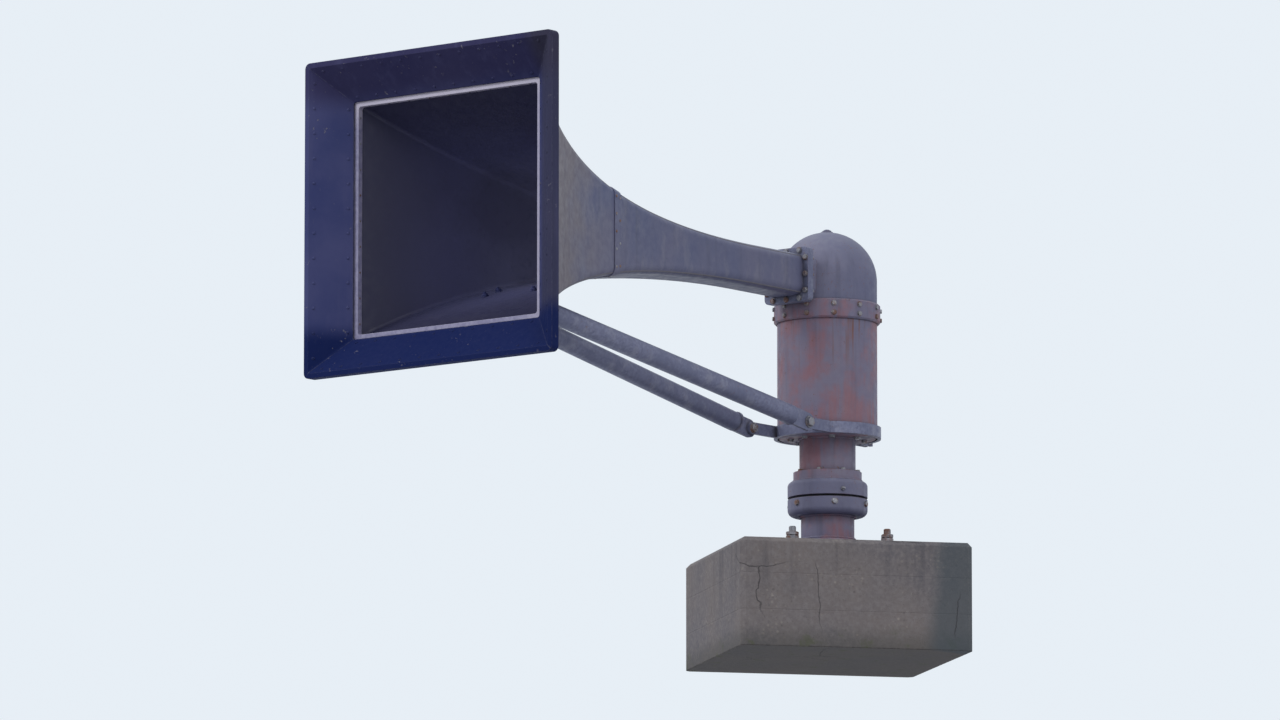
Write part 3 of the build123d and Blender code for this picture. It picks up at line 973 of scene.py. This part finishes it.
def lip_rivets():
    """Two rows of rivets on the dished lip's face, near its edge and near the break."""
    bm = bmesh.new()
    outer = mouth_half - LIP_WALL_ACROSS
    inner = horn_half(LIP_DEPTH) - LIP_WALL_ACROSS
    face_out = Vector((0, inner - outer, -LIP_DEPTH)).normalized()
    for turn in four_sides():
        for share, gaps in ((0.12, 11), (0.88, 9)):
            across = outer + (inner - outer) * share
            for spread in even_row(across - 0.03, gaps):
                face = on_side(turn, LIP_DEPTH * share, spread, across)
                seat = face - turn @ face_out * RIVET_SINK
                add_rivet(bm, seat, turn @ face_out, radius=0.0045)
    keep_piece(bm, "lip_rivets", HEAD, "mouth_dark")


def lip_corner_angles():
    """Small angles behind the lip that tie its four mitred corners together."""
    bm = bmesh.new()
    size = 0.060
    thickness = 0.003
    depth = 0.022
    gap_behind_edge = 0.004
    inner = mouth_half - HORN_WALL - 0.0003
    middle = Matrix.Translation(horn_point(gap_behind_edge + depth / 2, 0, 0))
    for turn in four_sides():
        for wide, high in ((size, thickness), (thickness, size)):
            corner = Vector((inner - wide / 2, 0, inner - high / 2))
            leg = middle @ turn.to_4x4() @ sized(corner, (wide, depth, high))
            bmesh.ops.create_cube(bm, size=1, matrix=leg)
    keep_piece(bm, "lip_corner_angles", HEAD, "galvanised_steel")


def pin_box(end, name):
    """The name, middle and half length of the pin at one end of the left or right brace."""
    pin = f"brace_{end}_pin_{name}"
    low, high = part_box(pin)
    return pin, (low + high) / 2, (high.x - low.x) / 2


def pin_bolts():
    """Hexagon bolts, washers and nuts in place of the plain pins."""
    pin_head = 0.010
    for side, name in ((-1, "left"), (1, "right")):
        out = RIGHT * side
        for end in ("top", "foot"):
            pin, middle, half = pin_box(end, name)
            grip = half - pin_head
            bm = bmesh.new()
            add_rod(bm, middle - out * grip, out, 2 * grip, radius=0.008, segments=28)
            add_bolt(bm, middle + out * grip, out, size=0.0155, turn=0.3)
            add_bolt(bm, middle - out * grip, -out, size=0.0135, turn=0.9, stud=0.001)
            bolt = keep_bolts(bm, f"brace_{end}_bolt_{name}")
            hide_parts(pin)


def brace_ends():
    """A coned cap on each end of both braces, and the welds of the eye plate that enters it."""
    bm = bmesh.new()
    for name in ("left", "right"):
        top = pin_box("top", name)[1]
        foot = pin_box("foot", name)[1]
        for pin, other in ((top, foot), (foot, top)):
            inward = (other - pin).normalized()
            add_cap(bm, pin + inward * (BRACE_TUBE_END + 0.001), inward)
    keep_piece(bm, "brace_ends", HEAD, "galvanised_steel", smooth_degrees=40)


def add_cap(bm, start, inward):
    """A brace's cap with the weld beads on both faces of the plate that comes out of it."""
    outward = -inward
    radius = 0.0272
    skirt = 0.004
    add_rod(bm, start, outward, skirt, radius, segments=32)
    add_rod(bm, start + outward * skirt, outward, 0.006, radius, 0.0205, segments=32)
    across = RIGHT.cross(inward).normalized()
    weld_start = start + outward * 0.0095 - across * 0.0195
    for face in (-1, 1):
        for step in range(13):
            bead = weld_start + RIGHT * (face * 0.0052) + across * (0.003 * step)
            add_rod(bm, bead, across, 0.0034, radius=0.0026, end_radius=0.0032, segments=10)


def housing_seam():
    """The rippled weld up the back of the housing, where its rolled plate closes."""
    bm = bmesh.new()
    bottom = pan_top + 0.002
    steps = 180
    rise = UP * (band_low.z - 0.001 - bottom) / steps
    middle = Vector((0, housing_radius - 0.0006, bottom))
    cap = start_tube(bm, radius=0.0036, place=sized(middle, (1.4, 0.7, 1)))
    swell = 1.0
    for step in range(1, steps + 1):
        cap, verts = push_cap(bm, cap, rise, first=step == 1)
        middle += rise
        new_swell = 1 + 0.16 * math.sin(step * math.tau / 4)
        growth = new_swell / swell
        centre = Matrix.Translation(-middle)
        bmesh.ops.scale(bm, vec=(growth, growth, 1), space=centre, verts=verts)
        swell = new_swell
    keep_piece(bm, "housing_seam", HEAD, "housing_paint", smooth_degrees=60)


def saddle_bolts():
    """Four bolts through the saddle's pad, with their painted nuts on the bell's inner floor."""
    bolts = bmesh.new()
    nuts = bmesh.new()
    steep = math.sinh((THROAT_DISTANCE - BRACE_TOP_DISTANCE) / FLARE_LENGTH)
    slope = math.atan(THROAT_HALF / FLARE_LENGTH * steep)
    tilt = Matrix.Rotation(slope, 3, "X")
    outward = tilt @ DOWN
    middle = horn_point(BRACE_TOP_DISTANCE, 0, -horn_half(BRACE_TOP_DISTANCE))
    pad_face = 0.0078
    bell_face = HORN_WALL - 0.0006
    for i, (x, y) in enumerate(FOUR_CORNERS):
        spot = middle + tilt @ Vector((x * 0.084, y * 0.030, 0))
        add_bolt(bolts, spot + outward * pad_face, outward, size=0.010, turn=0.7 * i)
        add_bolt(nuts, spot - outward * bell_face, -outward, size=0.010, turn=i, stud=0.004)
    keep_bolts(bolts, "saddle_bolts")
    keep_piece(nuts, "saddle_nuts", HEAD, "mouth_dark")


def yoke_bolt():
    """The clamp bolt through the two ears of the yoke."""
    bm = bmesh.new()
    middle = Vector((0, yoke_high.y - 0.016, (yoke_low.z + yoke_high.z) / 2))
    ear = RIGHT * 0.014
    add_bolt(bm, middle - ear, -RIGHT, size=0.013, turn=0.4)
    add_bolt(bm, middle + ear, RIGHT, size=0.013, turn=0.4, stud=0.006)
    add_rod(bm, middle - ear, RIGHT, 2 * ear.x, radius=0.0065, segments=20)
    keep_bolts(bm, "yoke_bolt")


def pale_floor():
    """A floor that shows from above and fades out, and that neither hides nor shades from below."""
    bm = bmesh.new()
    bmesh.ops.create_circle(bm, cap_ends=True, segments=96, radius=12)
    mesh = bpy.data.meshes.new("pale_floor")
    bm.to_mesh(mesh)
    bm.free()
    floor = bpy.data.objects.new("pale_floor", mesh)
    floor.location.z = -0.0005
    bpy.context.scene.collection.objects.link(floor)
    material = bpy.data.materials.new("pale_floor")
    material.use_nodes = True
    shader = Shader(material.node_tree)
    matt = shader.add("ShaderNodeBsdfDiffuse", {"Color": (0.70, 0.70, 0.71, 1)})
    clear = shader.add("ShaderNodeBsdfTransparent")
    faded = shader.between(shader.vector("LENGTH", shader.place["Object"]), 3, 11)
    unseen = shader.reverse(shader.add("ShaderNodeLightPath").outputs["Is Camera Ray"])
    from_below = shader.add("ShaderNodeNewGeometry").outputs["Backfacing"]
    shader.mix(
        shader.greatest(faded, unseen, from_below),
        matt.outputs["BSDF"],
        clear.outputs["BSDF"],
        "ShaderNodeOutputMaterial",
    )
    mesh.materials.append(material)


def studio_sky():
    """A pale background, and soft light that is stronger from above than from below."""
    world = bpy.data.worlds.new("studio_sky")
    world.use_nodes = True
    bpy.context.scene.world = world
    shader = Shader(world.node_tree)
    height = shader.part(shader.place["Generated"], "Z")
    share = shader.add("ShaderNodeMapRange", {"Value": height, "From Min": -1, "From Max": 1})
    ramp = shader.add("ShaderNodeValToRGB", {"Fac": share.outputs["Result"]})
    low, high = ramp.color_ramp.elements
    low.position = 0.25
    low.color = (0.50, 0.50, 0.53, 1)
    high.position = 0.75
    high.color = (1.0, 1.0, 1.0, 1)
    light = shader.add("ShaderNodeBackground", {"Color": ramp.outputs["Color"], "Strength": 0.80})
    seen = shader.add("ShaderNodeBackground", {"Color": (0.80, 0.86, 0.92, 1), "Strength": 1.0})
    ray = shader.add("ShaderNodeLightPath").outputs
    shader.mix(
        shader.greatest(ray["Is Camera Ray"], ray["Is Glossy Ray"], ray["Is Transmission Ray"]),
        light.outputs["Background"],
        seen.outputs["Background"],
        "ShaderNodeOutputWorld",
    )


def stand_in_scene(name, data, position, direction):
    """Puts a lamp or a camera at a position, looking along a direction."""
    holder = bpy.data.objects.new(name, data)
    holder.location = position
    holder.rotation_euler = direction.to_track_quat("-Z", "Y").to_euler()
    bpy.context.scene.collection.objects.link(holder)
    return holder


def soft_lamp(name, position, size, watts):
    """A large lamp that looks at the middle of the siren."""
    lamp = bpy.data.lights.new(name, "AREA")
    lamp.size = size
    lamp.energy = watts
    siren_middle = Vector((0, -0.8, 0.8))
    stand_in_scene(name, lamp, position, siren_middle - Vector(position))


def photo_camera():
    """A camera that looks up at the siren from its right front, from about 26 m away.

    It stands where the photograph was taken, and is turned and zoomed so that the siren fills
    the picture. Pixels are those of the photograph, which has 1280 by 720.
    """
    azimuth = math.radians(37.63)
    elevation = math.radians(9.24)
    depth = 26.3
    metres_per_pixel = 0.012548
    mouth_pixel = Vector((557.66, 358.73))
    middle_pixel = Vector((640, 360))
    window_middle = Vector((602.5, 391.5))
    window_width = 270
    level = Vector((-math.sin(azimuth), math.cos(azimuth), 0))
    ahead = level * math.cos(elevation) + UP * math.sin(elevation)
    right = ahead.cross(UP).normalized()
    above = right.cross(ahead)
    mouth_off = (mouth_pixel - middle_pixel) * metres_per_pixel
    window_off = (window_middle - middle_pixel) * metres_per_pixel
    mouth = horn_point(0, 0, 0)
    aim = ahead * depth + right * window_off.x - above * window_off.y
    camera = bpy.data.cameras.new("photo_camera")
    camera.lens = camera.sensor_width * aim.length / (window_width * metres_per_pixel)
    camera.clip_end = 4 * depth
    position = mouth - ahead * depth - right * mouth_off.x + above * mouth_off.y
    bpy.context.scene.camera = stand_in_scene("photo_camera", camera, position, aim)


anchor_bolts()
mortar_bed()
pipe_welds()
collar_screws()
swivel_seal()
grease_nipples()
neck_bolts()
pan_bolts()
band_screws()
dome_plug()
throat_bolts()
corner_seams()
joint_strap()
strap_rivets()
bead_rivets()
lip_rivets()
lip_corner_angles()
pin_bolts()
brace_ends()
housing_seam()
saddle_bolts()
yoke_bolt()
pale_floor()
studio_sky()
soft_lamp("key_lamp", (-11, -14, 15), 9, 2100)
soft_lamp("fill_lamp", (15, -6, 9), 10, 800)
photo_camera()
bpy.context.scene.view_settings.view_transform = "Standard"
